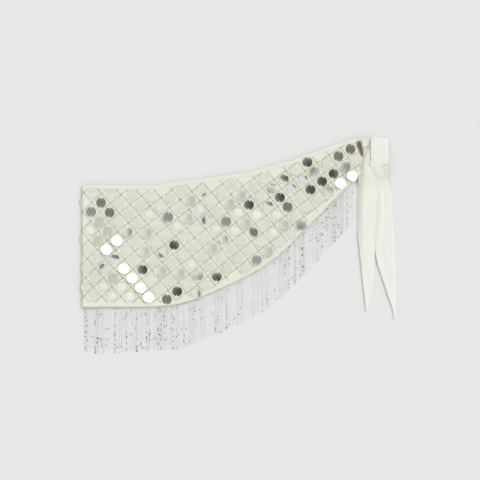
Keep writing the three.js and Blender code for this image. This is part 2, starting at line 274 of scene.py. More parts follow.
def makeStudio():
    scene = bpy.context.scene
    scene.view_settings.view_transform = "Standard"
    camera = bpy.data.objects.new("camera", bpy.data.cameras.new("camera"))
    camera.location = [value * mm for value in studio["cameraAt"]]
    camera.data.sensor_width = studio["sensor"]
    camera.data.lens = studio["sensor"] * studio["cameraAt"][2] / studio["viewWidth"]
    camera.data.clip_end = studio["seesTo"]
    scene.collection.objects.link(camera)
    scene.camera = camera

    lamp = bpy.data.objects.new("softbox", bpy.data.lights.new("softbox", "SUN"))
    lamp.data.angle = math.radians(studio["lampSpread"])
    lamp.data.energy = studio["lampPower"]
    lamp.data.color = studio["lampColour"]
    at = np.array(studio["lampFrom"]) * mm
    lamp.location = at
    tilt = math.atan2(math.hypot(at[0], at[1]), at[2])
    lamp.rotation_euler = (0, tilt, math.atan2(at[1], at[0]))
    scene.collection.objects.link(lamp)

    mesh = bpy.data.meshes.new("floor")
    half, level = studio["floorSize"] * mm / 2, studio["floorZ"] * mm
    corners = [(-half, -half, level), (half, -half, level), (half, half, level), (-half, half, level)]
    mesh.from_pydata(corners, [], [(0, 1, 2, 3)])
    material, tree, shader = newMaterial(
        "floorPaint", Base_Color=studio["floorColour"], Roughness=0.9, Specular_IOR_Level=0.1
    )
    addRelief(tree, shader, noiseOf(tree, 900.0, 2.0), 0.03, 0.0002)
    mesh.materials.append(material)
    floor = bpy.data.objects.new("floor", mesh)
    scene.collection.objects.link(floor)


# What the mirrors see: a warm pale canopy overhead with darker and brighter patches in some directions.
# The stops of a patch are degrees from its middle and what the canopy is multiplied by there.
canopy = {
    "reach": 16,  # degrees over which each patch's ramp runs
    "clouds": [(0.3, (0.93, 0.935, 0.95)), (0.7, (1.03, 1.03, 1.01))],
    "patches": {
        "gap": {
            "tilt": 24,  # degrees from straight up
            "towards": -90,  # degrees from +X
            "stops": [
                (0, (0.085, 0.085, 0.066)),
                (3, (0.112, 0.112, 0.098)),
                (4.5, (0.155, 0.155, 0.148)),
                (6, (0.225, 0.225, 0.225)),
                (7.4, (0.33, 0.33, 0.34)),
                (8.2, (0.50, 0.50, 0.51)),
                (8.8, (0.90, 0.90, 0.90)),
                (10, (1, 1, 1)),
            ],
        },
        "haze": {
            "tilt": 24,
            "towards": -101,
            "stops": [(0, (1.5, 1.55, 1.75)), (3, (1.35, 1.4, 1.55)), (6, (1, 1, 1))],
        },
        "dusk": {
            "tilt": 22,
            "towards": 100,
            "stops": [
                (0, (0.39, 0.385, 0.44)),
                (3.5, (0.47, 0.465, 0.52)),
                (5.5, (0.64, 0.64, 0.67)),
                (7.5, (1, 1, 1)),
            ],
        },
        "shade": {
            "tilt": 23,
            "towards": 150,
            "stops": [(0, (0.74, 0.74, 0.69)), (4.5, (0.78, 0.78, 0.73)), (9, (1, 1, 1))],
        },
        "slate": {
            "tilt": 24,
            "towards": -165,
            "stops": [(0, (0.25, 0.25, 0.238)), (4.9, (0.28, 0.28, 0.27)), (5.7, (1, 1, 1))],
        },
        "ash": {
            "tilt": 23,
            "towards": 0,
            "stops": [(0, (0.38, 0.382, 0.375)), (4.9, (0.42, 0.42, 0.43)), (5.8, (1, 1, 1))],
        },
        "window": {
            "tilt": 26,
            "towards": 35,
            "stops": [(0, (1.42, 1.42, 1.43)), (5.8, (1.42, 1.42, 1.43)), (6.6, (1, 1, 1))],
        },
        "veil": {
            "tilt": 24,
            "towards": -131,
            "stops": [(0, (1.2, 1.2, 1.2)), (3.5, (1.15, 1.15, 1.16)), (7, (1, 1, 1))],
        },
        "cloud": {
            "tilt": 23,
            "towards": -40,
            "stops": [(0, (0.33, 0.33, 0.32)), (4, (0.54, 0.54, 0.53)), (7, (0.78, 0.78, 0.75)), (9.5, (1, 1, 1))],
        },
    },
    "heights": [
        (0.0, (0.74, 0.74, 0.79)),
        (0.35, (0.62, 0.62, 0.68)),
        (0.6, (0.86, 0.86, 0.90)),
        (0.82, (0.81, 0.81, 0.80)),
        (0.90, (0.83, 0.83, 0.76)),
        (1.0, (0.83, 0.83, 0.75)),
    ],
}


def direction(tilt, towards):
    tilt, towards = math.radians(tilt), math.radians(towards)
    return np.array([math.sin(tilt) * math.cos(towards), math.sin(tilt) * math.sin(towards), math.cos(tilt)])


for patch in canopy["patches"].values():
    patch["at"] = direction(patch["tilt"], patch["towards"])


def makeCanopy():
    world = bpy.data.worlds.new("canopy")
    bpy.context.scene.world = world
    world.use_nodes = True
    tree = world.node_tree
    looking = addNode(tree, "TexCoord").outputs["Generated"]
    looking = addNode(tree, "VectorMath", {0: looking}, operation="NORMALIZE").outputs[0]
    height = addNode(tree, "SeparateXYZ", {0: looking}).outputs["Z"]
    colour = rampOf(tree, height, canopy["heights"])
    clouds = rampOf(tree, noiseOf(tree, 7.0, 1.0, looking), canopy["clouds"])
    colour = mixColour(tree, 1.0, colour, clouds, "MULTIPLY")
    for patch in canopy["patches"].values():
        turn = addNode(tree, "VectorMath", {0: looking}, operation="DOT_PRODUCT")
        turn.inputs[1].default_value = patch["at"]
        angle = addNode(tree, "Math", {0: turn.outputs["Value"]}, operation="ARCCOSINE")
        share = addNode(tree, "Math", {0: angle.outputs[0]}, operation="DIVIDE")
        share.inputs[1].default_value = math.radians(canopy["reach"])
        stops = [(place / canopy["reach"], tone) for place, tone in patch["stops"]]
        colour = mixColour(tree, 1.0, colour, rampOf(tree, share.outputs[0], stops), "MULTIPLY")
    glow = tree.nodes["Background"]
    tree.links.new(colour, glow.inputs["Color"])
    glow.inputs["Strength"].default_value = studio["domePower"]


makeStudio()
makeCanopy()


print("folded panel")
panel = {
    "foldX": -234.4,  # where the front half comes off the roll
    "rollReach": 2.9,  # how far the roll stands out
    "quarter": 4.55,  # length of cloth from the roll's outermost line to either half
    "backMiddle": 0.92,  # heights of the middle of the cloth
    "frontMiddle": 3.15,
    "rollTop": 6.1,
    "ease": 13,
    "cloth": 0.5,
    "hemWidth": 5.5,
    "hemThick": 0.5,
    "hemWave": {"depth": 1.0, "size": 13, "from": (-40, 40), "to": (170, 185)},  # the strands pull at the hem
    "right": 197.7,
    "climbFrom": 150,
    "climbTo": 197,
    "climb": 2.6,
    "puff": 0.34,  # how far the cloth stands up inside each lattice cell
    "unevenness": 0.16,
    "unevenSize": 46,
    "rim": (0, 0.12, 0.35, 0.8, 2.2, 3.8, 4.9, 5.5, 5.9, 6.4),  # close rows of points beside both edges
    "hemUnder": 0.12,
    "lowest": 0.6,
    "rows": 56,
    "backColumns": 108,
    "rollColumns": 13,
    "frontColumns": 196,
    "flat": (0.256, 0.88),  # the whole crescent, in metres
    "area": 0.129,
}

# Creases of the front half, from foot to head: width on the left and right side, height, and how much it widens
creases = named(
    "x1 y1 x2 y2 left right height widen",
    (187.4, 131, 181.6, 154.6, 2.5, 2.0, -2.6, 1.4),
    (188.4, 134, 185.6, 161, 1.3, 4.2, 1.8, 0),
    (192.5, 128, 193, 158, 2.2, 1.6, -1.0, 0),
    (170, 112, 173, 154, 4.5, 3.5, 1.1, 0),
    (160, 103, 166, 150, 5, 4, -0.5, 0),
    (118, 96, 176, 144, 9, 8, 0.9, 0),
    (84, 64, 162, 126, 7, 9, 0.8, 0),
    (88, 127, 168, 153, 6, 8, 0.7, 0),
    (-62, -48, -112, 82, 12, 10, 0.6, 0),
    (14, -20, 44, 104, 11, 9, 0.6, 0),
    (-190, -70, -176, 70, 10, 14, 0.45, 0),
    (-146, -80, -20, -46, 8, 8, 0.35, 0),
)

front = cadPoints("shell")
front = front[(front[:, 2] > 2) & (front[:, 0] > panel["foldX"] - 0.1)]
panelX, panelSections = sectionsOf(front, 0)
panelHem = np.array([section[:, 1].min() for section in panelSections])
panelTop = np.array([section[:, 1].max() for section in panelSections])


def hemAt(x):
    return curveThrough(panelX, panelHem, x)


def topAt(x):
    return curveThrough(panelX, panelTop, x)


# How far a place on the cloth is from the nearer of its two long edges, square to the edge
def fromEdges(x, y):
    toTop = (topAt(x) - y) / np.hypot(1, (topAt(x + 2) - topAt(x - 2)) / 4)
    toHem = (y - hemAt(x)) / np.hypot(1, (hemAt(x + 2) - hemAt(x - 2)) / 4)
    return np.minimum(toTop, toHem)


# The diamond lattice: u counts cells along the scarf and v across it, in the middle of the cells
lattice = {
    "rows": [  # u, x, y, and the step from one cell to the next across the scarf
        (-1, -235.6, 66.4, -2.3, -28.5),
        (0, -208.9, 65.4, -2.5, -28.3),
        (2, -149.6, 61.7, -3.1, -27.6),
        (4, -90.5, 56.4, -3.8, -27.4),
        (5.5, -46.4, 53.4, -4.3, -27.9),
        (8, 26.6, 47.4, -5.6, -27.1),
        (10.5, 98, 44.6, -6.6, -27.1),
        (12.5, 150.7, 42, -8, -25.5),
    ],
    "pace": 29.5,  # rough width of a cell along the scarf
    "drop": 27.5,  # and across it
    "ease": 0.9,
    "lines": (-24.5, 30),  # the numbers of the lines that can cross the cloth
    "spanU": (-18, 16),
    "spanV": 8,
    "pitch": 0.01,  # in cells, along a line
    "leastRun": 25,  # in pitches
    "startX": -208.9,
    "clear": 5.7,  # the lines end this far from the edges
    "clearRight": 1.2,
    "cellSide": 20,
    "beadPitch": 1.9,
    "beadWidth": 1.0,
    "beadLength": 1.55,
    "nodeWidth": 1.35,
    "nodeLength": 1.3,
    "backZ": 0.4,
    "backRadius": 0.34,
    "colour": (0.60, 0.585, 0.48),
    "shades": (0.8, 1.15),
    "darkShare": 0.2,
    "darkShade": 0.35,
}
latticeU, *latticeColumns = np.array(lattice["rows"], float).T


def latticePoint(u, v):
    x, y, stepX, stepY = (curveThrough(latticeU, values, u) for values in latticeColumns)
    return x + stepX * v, y + stepY * v


# Which cell a place lies in, found by small steps
def latticeIndex(x, y):
    u = (x - lattice["startX"]) / lattice["pace"]
    v = np.zeros_like(u)
    for _ in range(14):
        nowX, nowY = latticePoint(u, v)
        v = v - (nowY - y) / lattice["drop"]
        u = u + (x - nowX) / lattice["pace"] * lattice["ease"]
    return u, v


apexX = panel["foldX"] - panel["quarter"]  # the fold's outermost line, were the cloth flat


# Lattice places as a distance from the fold, negative on the back half, and a place across
def latticeOnCloth(u, v):
    x, y = latticePoint(u, v)
    foldU = np.full_like(u, -1.0)
    for _ in range(12):
        foldU = foldU + (apexX - latticePoint(foldU, v)[0]) / lattice["pace"]
    backX, backY = latticePoint(2 * foldU - u, v)
    isFront = x >= apexX
    return np.where(isFront, x - apexX, apexX - backX), np.where(isFront, y, backY)


def creaseHeight(x, y, crease):
    alongX, alongY = crease["x2"] - crease["x1"], crease["y2"] - crease["y1"]
    t = ((x - crease["x1"]) * alongX + (y - crease["y1"]) * alongY) / (alongX**2 + alongY**2)
    t = np.clip(t, 0, 1)
    offX, offY = x - crease["x1"] - t * alongX, y - crease["y1"] - t * alongY
    side = alongX * offY - alongY * offX
    width = np.where(side > 0, crease["left"], crease["right"]) * (1 + crease["widen"] * t)
    return crease["height"] * bump(np.hypot(offX, offY), width)


def frontHeight(x, y):
    past = np.maximum(x - panel["foldX"], 0)
    height = panel["frontMiddle"] + (panel["rollTop"] - panel["frontMiddle"]) * bump(past, panel["ease"])
    height += panel["climb"] * smoothstep(panel["climbFrom"], panel["climbTo"], x)
    for crease in creases:
        height += creaseHeight(x, y, crease)
    u, v = latticeIndex(x, y)
    cell = np.abs(np.cos(math.pi * (u + v)) * np.cos(math.pi * (u - v)))
    inner = smoothstep(4, 9, fromEdges(x, y)) * smoothstep(2, 20, past)
    height += panel["puff"] * (np.sqrt(cell) - 0.6) * inner
    return height + panel["unevenness"] * ripples(x, y, panel["unevenSize"], 3) * smoothstep(0, 25, past)


# The middle of the cloth at a distance from the fold
def clothMiddle(far, y):
    far, y = np.broadcast_arrays(np.asarray(far, float), np.asarray(y, float))
    x = panel["foldX"] + np.maximum(np.abs(far) - panel["quarter"], 0)
    angle = np.clip(far / panel["quarter"], -1, 1) * math.pi / 2
    centre = (panel["rollTop"] + panel["backMiddle"]) / 2
    rise = (panel["rollTop"] - panel["backMiddle"]) / 2
    rollX = panel["foldX"] - panel["rollReach"] * np.cos(angle)
    rollZ = centre + rise * np.sin(angle)
    z = np.where(far > 0, frontHeight(x, y), panel["backMiddle"])
    isRoll = np.abs(far) < panel["quarter"]
    return np.stack([np.where(isRoll, rollX, x), y, np.where(isRoll, rollZ, z)], -1)


def clothPlace(far, y, lift):
    step = 0.25
    here = clothMiddle(far, y)
    along = clothMiddle(far + step, y) - clothMiddle(far - step, y)
    across = clothMiddle(far, y + step) - clothMiddle(far, y - step)
    normal = unit(np.cross(along, across))
    return here + normal * np.asarray(lift)[..., None], normal


def clothMaterial(name, look):
    material, tree, shader = newMaterial(
        name, Sheen_Weight=look["sheen"], Sheen_Roughness=0.45, Specular_IOR_Level=0.25
    )
    laid = addNode(tree, "Attribute", attribute_name="laid").outputs["Vector"]
    tone = rampOf(tree, noiseOf(tree, look["cloud"], 3.0, laid), [(0.32, look["shade"]), (0.68, look["colour"])])
    yarns = []
    for axis in ("X", "Y"):
        yarn = addNode(tree, "TexWave", {"Vector": laid}, bands_direction=axis, Scale=look["yarn"], Distortion=1.2)
        yarn.inputs["Detail Scale"].default_value = 2.0
        yarns.append(yarn.outputs["Fac"])
    weave = addNode(tree, "Math", {0: yarns[0], 1: yarns[1]}, operation="MULTIPLY").outputs[0]
    slub = noiseOf(tree, look["slub"], 4.0, laid)
    relief = addNode(tree, "Math", {0: weave, 1: slub}, operation="ADD").outputs[0]
    tone = mixColour(tree, rampOf(tree, weave, [(0, (0.05,) * 3), (1, (0,) * 3)]), tone, (*look["deep"], 1))
    # The tint attribute multiplies painted shade into the colour: the crease by the knot and strips along the tails
    paintedShade = addNode(tree, "Attribute", attribute_name="tint").outputs["Color"]
    tree.links.new(mixColour(tree, 1.0, tone, paintedShade, "MULTIPLY"), shader.inputs["Base Color"])
    addRelief(tree, shader, relief, look["relief"], 0.0002)
    addRoughness(tree, shader, slub, look["rough"] - 0.06, look["rough"] + 0.06)
    return material


# What the cloth's paint needs at each point: its place on the flat cloth and its painted shade
def clothShades(points, tint=None):
    laid = np.column_stack([points[:, :2], np.zeros(len(points)), np.ones(len(points))])
    return {"laid": laid, "tint": np.ones_like(laid) if tint is None else tint}


shellLook = {
    "colour": (0.835, 0.84, 0.735),
    "shade": (0.81, 0.815, 0.70),
    "deep": (0.66, 0.66, 0.55),
    "cloud": 0.05,
    "yarn": 0.7,
    "slub": 0.9,
    "relief": 0.35,
    "rough": 0.86,
    "sheen": 0.12,
    "valley": (0.19, 0.17, 0.14),  # painted shade: the deep crease by the knot is darkened towards this colour, for the shadow inside the fold
    "valleyShadeEdge": (0.25, 0.8),
    "valleyShadeRagged": 0.22,
}


# How much of its full thickness the cloth has at a distance from its turned edge
def edgeRound(distance, reach=0.55):
    return np.sqrt(np.clip(1 - (1 - np.minimum(distance / reach, 1)) ** 2, 0.03, 1))


def makeShell():
    reach = panel["right"] - panel["foldX"] + panel["quarter"]
    roll = panel["quarter"]
    far = np.concatenate([
        np.linspace(-reach, -roll, panel["backColumns"], endpoint=False),
        np.linspace(-roll, roll, panel["rollColumns"], endpoint=False),
        np.linspace(roll, reach, panel["frontColumns"]),
    ])
    x = panel["foldX"] + np.maximum(np.abs(far) - roll, 0)
    hem, top = hemAt(x)[:, None], topAt(x)[:, None]
    wave = panel["hemWave"]
    drawn = wave["depth"] * ripples(x, 0, wave["size"], 21) * smoothstep(*wave["from"], x)
    hem = hem + (drawn * (1 - smoothstep(*wave["to"], x)) * (far > 0))[:, None]
    rim = np.array(panel["rim"])
    inside = np.linspace(0, 1, panel["rows"])[1:-1]
    start, end = hem + rim[-1], top - rim[-1]
    y = np.concatenate([hem + rim, start + (end - start) * inside, top - rim[::-1]], 1)
    edge = np.minimum(y - hem, top - y)
    fullness = edgeRound(edge)
    turned = 1 - smoothstep(panel["hemWidth"] - 0.2, panel["hemWidth"] + 0.6, edge)
    isFront = smoothstep(-roll, roll + 12, far)[:, None]
    half = panel["cloth"] / 2
    upper = (half + panel["hemThick"] * turned * isFront) * fullness
    under = -(half + panel["hemUnder"] * turned) * fullness
    grid = np.broadcast_to(far[:, None], y.shape)
    outer, _ = clothPlace(grid, y, upper)
    inner, _ = clothPlace(grid, y, under)
    outer[..., 2] = np.maximum(outer[..., 2], panel["lowest"])
    # Painted shade: the cloth is darkened where the crease by the knot is deep, standing in for the shadow in the fold
    valley = creases[0]
    depth = creaseHeight(outer[..., 0], y, valley) / valley["height"] * (far[:, None] > 0)
    depth = depth * (1 + shellLook["valleyShadeRagged"] * ripples(outer[..., 0], y, 5, 31))
    tint = 1 - (1 - np.array(shellLook["valley"])) * smoothstep(*shellLook["valleyShadeEdge"], depth)[..., None]
    tint = np.concatenate([tint, np.ones_like(tint[..., :1])], -1).reshape(-1, 4)
    laid = np.stack([grid, y], -1).reshape(-1, 2)
    shades = clothShades(np.concatenate([laid, laid]), np.concatenate([tint, tint]))
    return newPiece("scarf_shell", joined(outer, inner), wallFaces(*y.shape), clothMaterial("ivoryWeave", shellLook),
                    stands=["shell"], shades=shades)


shell = makeShell()


print("bead lattice")


def beadMaterial(name, rough, metallic, coat=0.0):
    material, tree, shader = newMaterial(name, Metallic=metallic, Coat_Weight=coat)
    tone = addNode(tree, "Attribute", attribute_name="tone")
    wear = noiseOf(tree, 1500.0, 2.0)
    worn = rampOf(tree, wear, [(0.3, (0.86,) * 3), (0.7, (1,) * 3)])
    tree.links.new(mixColour(tree, 1.0, tone.outputs["Color"], worn, "MULTIPLY"), shader.inputs["Base Color"])
    tree.links.new(tone.outputs["Alpha"], shader.inputs["Alpha"])
    addRoughness(tree, shader, wear, rough * 0.6, rough * 1.4)
    return material


# Runs of places along every lattice line that stay on the cloth, clear of the hems
def latticeRuns():
    runs = []
    along = np.arange(-32, 32, lattice["pitch"])
    low, high = lattice["spanU"]
    for line in np.arange(*lattice["lines"], 1):
        across = np.full_like(along, line)
        for i, j in ((across, along), (along, across)):
            u, v = (i + j) / 2, (i - j) / 2
            keep = (u > low) & (u < high) & (np.abs(v) < lattice["spanV"])
            far, y = latticeOnCloth(u[keep], v[keep])
            x = panel["foldX"] + np.maximum(np.abs(far) - panel["quarter"], 0)
            good = (fromEdges(x, y) > lattice["clear"]) & (x < panel["right"] - lattice["clearRight"])
            cuts = np.flatnonzero(np.diff(np.concatenate([[0], good.astype(int), [0]])))
            for start, end in cuts.reshape(-1, 2):
                if end - start > lattice["leastRun"]:
                    runs.append((far[start:end], y[start:end], along[keep][start:end]))
    return runs


def makeLattice():
    placed = []
    for far, y, along in latticeRuns():
        length = np.concatenate([[0], np.cumsum(np.hypot(np.diff(far), np.diff(y)))])
        count = int(length[-1] // lattice["beadPitch"])
        places = (np.arange(count) + 0.5) * length[-1] / max(count, 1)
        atFar, atY, crossing = (np.interp(places, length, values) for values in (far, y, along))
        centres, _ = clothPlace(atFar, atY, panel["cloth"] / 2 + lattice["beadWidth"] * 0.4)
        directions = np.gradient(centres, axis=0) if count > 1 else np.array([[1.0, 0, 0]])
        isNode = np.abs(crossing % 1 - 0.5) * lattice["cellSide"] < lattice["beadPitch"] / 2
        placed.append((centres, directions, isNode, atFar))
    centres, directions, isNode, far = (np.concatenate(part) for part in zip(*placed))
    widths = np.where(isNode, lattice["nodeWidth"], lattice["beadWidth"])
    lengths = np.where(isNode, lattice["nodeLength"], lattice["beadLength"])
    material = beadMaterial("silverBead", 0.28, 0.75)
    isFront = far > -panel["quarter"]
    for side, chosen in (("front", isFront), ("back", ~isFront)):
        count = int(chosen.sum())
        dark = chance.random(count) < lattice["darkShare"]
        base = np.array(lattice["colour"]) * chance.uniform(*lattice["shades"], (count, 1))
        base[dark] *= lattice["darkShade"]
        at, radii = centres[chosen], widths[chosen] / 2
        if side == "front":
            at[:, 2] = np.maximum(at[:, 2], lattice["nodeWidth"] / 2 + 0.05)
        else:
            at[:, 2], radii = lattice["backZ"], np.minimum(radii, lattice["backRadius"])
        points, faces, each = manyBeads(at, directions[chosen], radii, lengths[chosen], sides=5)
        tone = np.repeat(np.concatenate([base, np.ones((count, 1))], 1), each, axis=0)
        newPiece("lattice_beads_" + side, points, faces, material, shades={"tone": tone})
    print("  lattice beads:", len(centres))


makeLattice()


print("paillettes")
paillette = {
    "radius": 7.45,
    "thick": 0.25,
    "dome": 0.15,
    "holeAt": 5.6,
    "holeRadius": 0.7,
    "clear": 10.6,  # no paillette is sewn closer than this to an edge
    "right": 186,
    "lift": 0.05,
    "colour": (0.93, 0.93, 0.92),
    "rough": 0.035,
    "tint": 0.007,
    "loose": 2.2,  # degrees by which a paillette that shows the canopy leans at random
    "mostLean": 3.2,
    "slipped": {"x": -235.4, "z": 0.3, "shade": 0.78},  # sewn on the turn of the fold and slipped flat beneath it; its shade is painted shade, for the shadow under the roll
    "nearFold": 9,
    "besideFold": 8,
    "nudged": {(4, -5): 1.8},
    "follow": 0.3,  # the share of the cloth's own lean that a paillette takes
    "widest": 170,
    "clearOverHem": 5,
    "backZ": 0.30,
    "backFlat": 0.6,
}

# How a paillette catches the light: the patch that it mirrors, and degrees off its middle along +X and +Y
looks = {
    "gap": {
        (0, 0): [(9, 12)],
        (-0.8, 0.8): [(9, 0)],
        (-0.4, -0.6): [(9, 13)],
        (-1.8, -2.2): [(8, 10)],
        (3.2, 0.2): [(9, 14)],
        (-1, 3.6): [(7, 13)],
        (-1.6, -1.8): [(7, 8)],
        (2.4, 2.6): [(6, 2)],
        (-3.2, -1.2): [(6, -1)],
        (-0.8, 4.8): [(10, 3)],
        (-3.6, -6.2): [(7, 11)],
        (9.9, 0.5): [(6, 5)],
        (-2.4, -8.8): [(4, -2)],
        (-4.2, -8.9): [(8, 9)],
        (-6.8, -9): [(8, 11), (8, 12)],
        (-10, -1.2): [(10, 1)],
        (-6.8, 9): [(4, 6)],
        (6.6, -7.8): [(4, -3)],
        (7, 7.8): [(6, 1)],
    },
    "slate": {
        (0, 0): [(0, 0), (1, 0), (9, 10), (8, 15), (9, -1), (8, 16)],
        (-1.8, -1.3): [(9, 7)],
    },
    "ash": {
        (0, 0): [(0, -1), (4, 3), (7, 6)],
    },
    "dusk": {
        (0, 0): [(11, 6)],
        (-2.4, 1.2): [(9, 15)],
        (-6.2, 0.4): [(3, 0)],
    },
    "cloud": {
        (3, -2.4): [(8, 13)],
        (1.2, 1.6): [(11, 10)],
        (-3.4, 4.6): [(9, 2)],
        (-2.6, -6.2): [(10, 13)],
        (-7, -2.6): [(8, 5)],
        (3.4, 6.8): [(7, 10)],
    },
    "shade": {
        (0, 0): [(1, -1), (2, -1), (2, -2), (5, -3)],
        (-4.8, 1): [(4, 5), (8, 1), (6, 8), (6, 7), (11, 7)],
        (-5.6, -2): [(8, 4), (8, 7), (5, 0), (5, 4), (4, 1), (7, 0), (10, 9)],
    },
    "window": {
        (0, 0): [(3, -1), (3, -2), (5, -2), (6, -2), (7, -2), (8, -2), (10, 14), (10, 15)],
    },
    "veil": {
        (0, 0): [(6, -3), (7, -3), (8, 8)],
        (-2, -3): [(1, -2), (5, 3), (3, 2), (5, -4), (7, 5), (8, 6), (7, 7), (9, 9)],
        (-3, -2.6): [(10, 8), (8, 2), (6, -4), (5, 5)],
    },
}
overFoldCells = [(-1, -1), (1, -3)]
besideFoldCells = [(3, -4), (4, -5)]
bareCells = [(11, 3)]
sewnOverHemCells = [(10, 15), (9, 16), (8, -2), (9, -1), (10, 1), (11, 10), (10, 14), (11, 9)]


def mirrored(cell):
    for patch, rows in looks.items():
        for off, cells in rows.items():
            if cell in cells:
                centre = canopy["patches"][patch]["at"]
                east = unit(np.array([centre[2], 0, -centre[0]]))
                north = np.cross(centre, east)
                return unit(centre + math.radians(off[0]) * east + math.radians(off[1]) * north)
    return None


# One paillette lying flat: its outline, rings and two holes joined up, then its rim and underside
def pailletteShape():
    radius, hole = paillette["radius"], paillette["holeRadius"]
    centres = np.array([[0, paillette["holeAt"]], [0, -paillette["holeAt"]]])
    rings = []
    for share, count in ((1, 36), (0.86, 32), (0.64, 22), (0.38, 12), (0.14, 5)):
        angles = roundAngles(count, 0.5)
        ring = radius * share * np.stack([np.cos(angles), np.sin(angles)], 1)
        away = np.linalg.norm(ring[:, None] - centres, axis=2).min(1)
        rings.append(ring[away > hole * 1.5])
    angles = roundAngles(8)
    holes = [centre + hole * np.stack([np.cos(angles), np.sin(angles)], 1) for centre in centres]
    places = np.concatenate(rings + holes)
    edges = [(k, (k + 1) % 36) for k in range(36)]
    first = len(places) - 16
    for start in (first, first + 8):
        edges += [(start + k, start + (k + 1) % 8) for k in range(8)]
    found, _, faces, *_ = delaunay_2d_cdt([tuple(place) for place in places], edges, [], 0, 1e-5)
    flat = np.array([tuple(place) for place in found])
    faces = np.array([face for face in faces if len(face) == 3])
    middle = flat[faces].mean(1)
    faces = faces[np.linalg.norm(middle[:, None] - centres, axis=2).min(1) > hole * 0.9]
    away = np.linalg.norm(flat, axis=1) / radius
    height = paillette["thick"] / 2 + paillette["dome"] * (1 - away**2)
    upper = np.column_stack([flat, height])
    under = np.column_stack([flat, height - paillette["thick"]])
    count = len(flat)
    walls = []
    sides = {(face[k], face[(k + 1) % 3]): True for face in faces for k in range(3)}
    for a, b in sides:
        if (b, a) not in sides:
            walls += [(b, a, count + a), (b, count + a, count + b)]
    faces = np.concatenate([faces, faces[:, ::-1] + count, np.array(walls)])
    return np.concatenate([upper, under]), faces


def pailletteCells():
    cells = []
    for i in range(-22, 20):
        for j in range(-26, 20):
            far, y = (float(value) for value in latticeOnCloth(np.array((i + j) / 2), np.array((i - j) / 2)))
            x = panel["foldX"] + max(abs(far) - panel["quarter"], 0)
            if abs(y) > paillette["widest"] or x > paillette["right"] or (i, j) in bareCells:
                continue
            clear = paillette["clearOverHem" if (i, j) in sewnOverHemCells else "clear"]
            if fromEdges(np.array(x), np.array(y)) > clear:
                cells.append(((i, j), far, y))
    return cells


# How far a paillette that leans has to rise to lie on the cloth and not in it
def liftOver(here, normal):
    angles = roundAngles(12)
    outs = [ring * paillette["radius"] * np.stack([np.cos(angles), np.sin(angles)]) for ring in (0.98, 0.55)]
    east, north = np.hstack(outs + [np.zeros((2, 1))])
    own = here[2] - (east * normal[0] + north * normal[1]) / normal[2]
    x, y = here[0] + east, here[1] + north
    cloth = clothMiddle(x - apexX, y)[:, 2] + panel["cloth"] / 2
    cloth += panel["hemThick"] * (fromEdges(x, y) < panel["hemWidth"] + 0.5)
    return float((cloth - own).max()) + paillette["thick"] / 2 + paillette["lift"]


def foilMaterial():
    material, tree, shader = newMaterial("mirrorFilm", Metallic=1.0)
    tone = addNode(tree, "Attribute", attribute_name="tone").outputs["Color"]
    scratches = noiseOf(tree, 420.0, 5.0)
    dulled = rampOf(tree, scratches, [(0.35, (0.97,) * 3), (0.65, (1,) * 3)])
    tree.links.new(mixColour(tree, 1.0, tone, dulled, "MULTIPLY"), shader.inputs["Base Color"])
    addRoughness(tree, shader, scratches, paillette["rough"] * 0.6, paillette["rough"] * 1.8)
    addRelief(tree, shader, scratches, 0.02, 0.0001)
    return material


# Where a paillette is sewn, as a distance from the fold; those near the fold are shifted off it
def perchOf(cell, far):
    if abs(far) < paillette["nearFold"] and cell not in besideFoldCells:
        far = 1 if cell in overFoldCells else -(panel["quarter"] + paillette["besideFold"])
    return far + paillette["nudged"].get(cell, 0)


# A paillette of the front half: its place, the way that it faces and its shade
def frontPlace(cell, here, normal, lean, shade):
    if cell in overFoldCells:
        slipped = paillette["slipped"]
        # Painted shade: the slipped paillette is made darker, for the shadow under the roll
        return np.array([slipped["x"], here[1], slipped["z"]]), np.array([0.0, 0, 1]), np.full(3, slipped["shade"])
    aim = mirrored(cell)
    if aim is None:
        lean = np.radians(lean) + normal[:2] * paillette["follow"]
        lean *= min(1, math.radians(paillette["mostLean"]) / np.linalg.norm(lean))
        normal = unit(np.array([*lean, 1]))
    else:
        normal = unit(aim + unit(np.array(studio["cameraAt"]) - here))
    return here + [0, 0, liftOver(here, normal)], normal, shade


def makePaillettes():
    shape, shapeFaces = pailletteShape()
    material = foilMaterial()
    sides = {"front": [], "back": []}
    for cell, far, y in pailletteCells():
        perch = perchOf(cell, far)
        here, normal = clothPlace(np.array(perch), np.array(y), 0.0)
        u, v = np.array((cell[0] + cell[1]) / 2), np.array((cell[0] - cell[1]) / 2)
        up = np.array(latticePoint(u, v - 0.1)) - np.array(latticePoint(u, v))
        lean = chance.normal(0, paillette["loose"] / 2, 2)
        shade = chance.uniform(0.94, 1.0) * (1 + chance.normal(0, paillette["tint"], 3))
        side = "front" if perch > 0 else "back"
        if side == "front":
            here, normal, shade = frontPlace(cell, here, normal, lean, shade)
        else:
            up[0] = -up[0]
            here[2], normal = paillette["backZ"], np.array([0, 0, -1.0])
        long = unit(np.array([*up, 0]) - normal * np.dot([*up, 0], normal))
        sides[side].append((here, np.cross(long, normal), long, normal, shade))
    for side, placed in sides.items():
        here, wide, long, normal, shade = (np.array(part) for part in zip(*placed))
        turn = np.stack([wide, long, normal], 1)  # discs x axes x 3
        local = shape * [1, 1, 1 if side == "front" else paillette["backFlat"]]
        points = here[:, None] + np.einsum("pk,nkc->npc", local, turn)
        faces = (shapeFaces[None] + np.arange(len(here))[:, None, None] * len(shape)).reshape(-1, 3)
        tone = np.column_stack([np.clip(np.array(paillette["colour"]) * shade, 0, 1), np.ones(len(here))])
        newPiece("paillettes_" + side, points, faces, material,
                 smoothAngle=25, shades={"tone": np.repeat(tone, len(shape), axis=0)})
        print("  paillettes on the", side + ":", len(here))
    return sides


placed = makePaillettes()


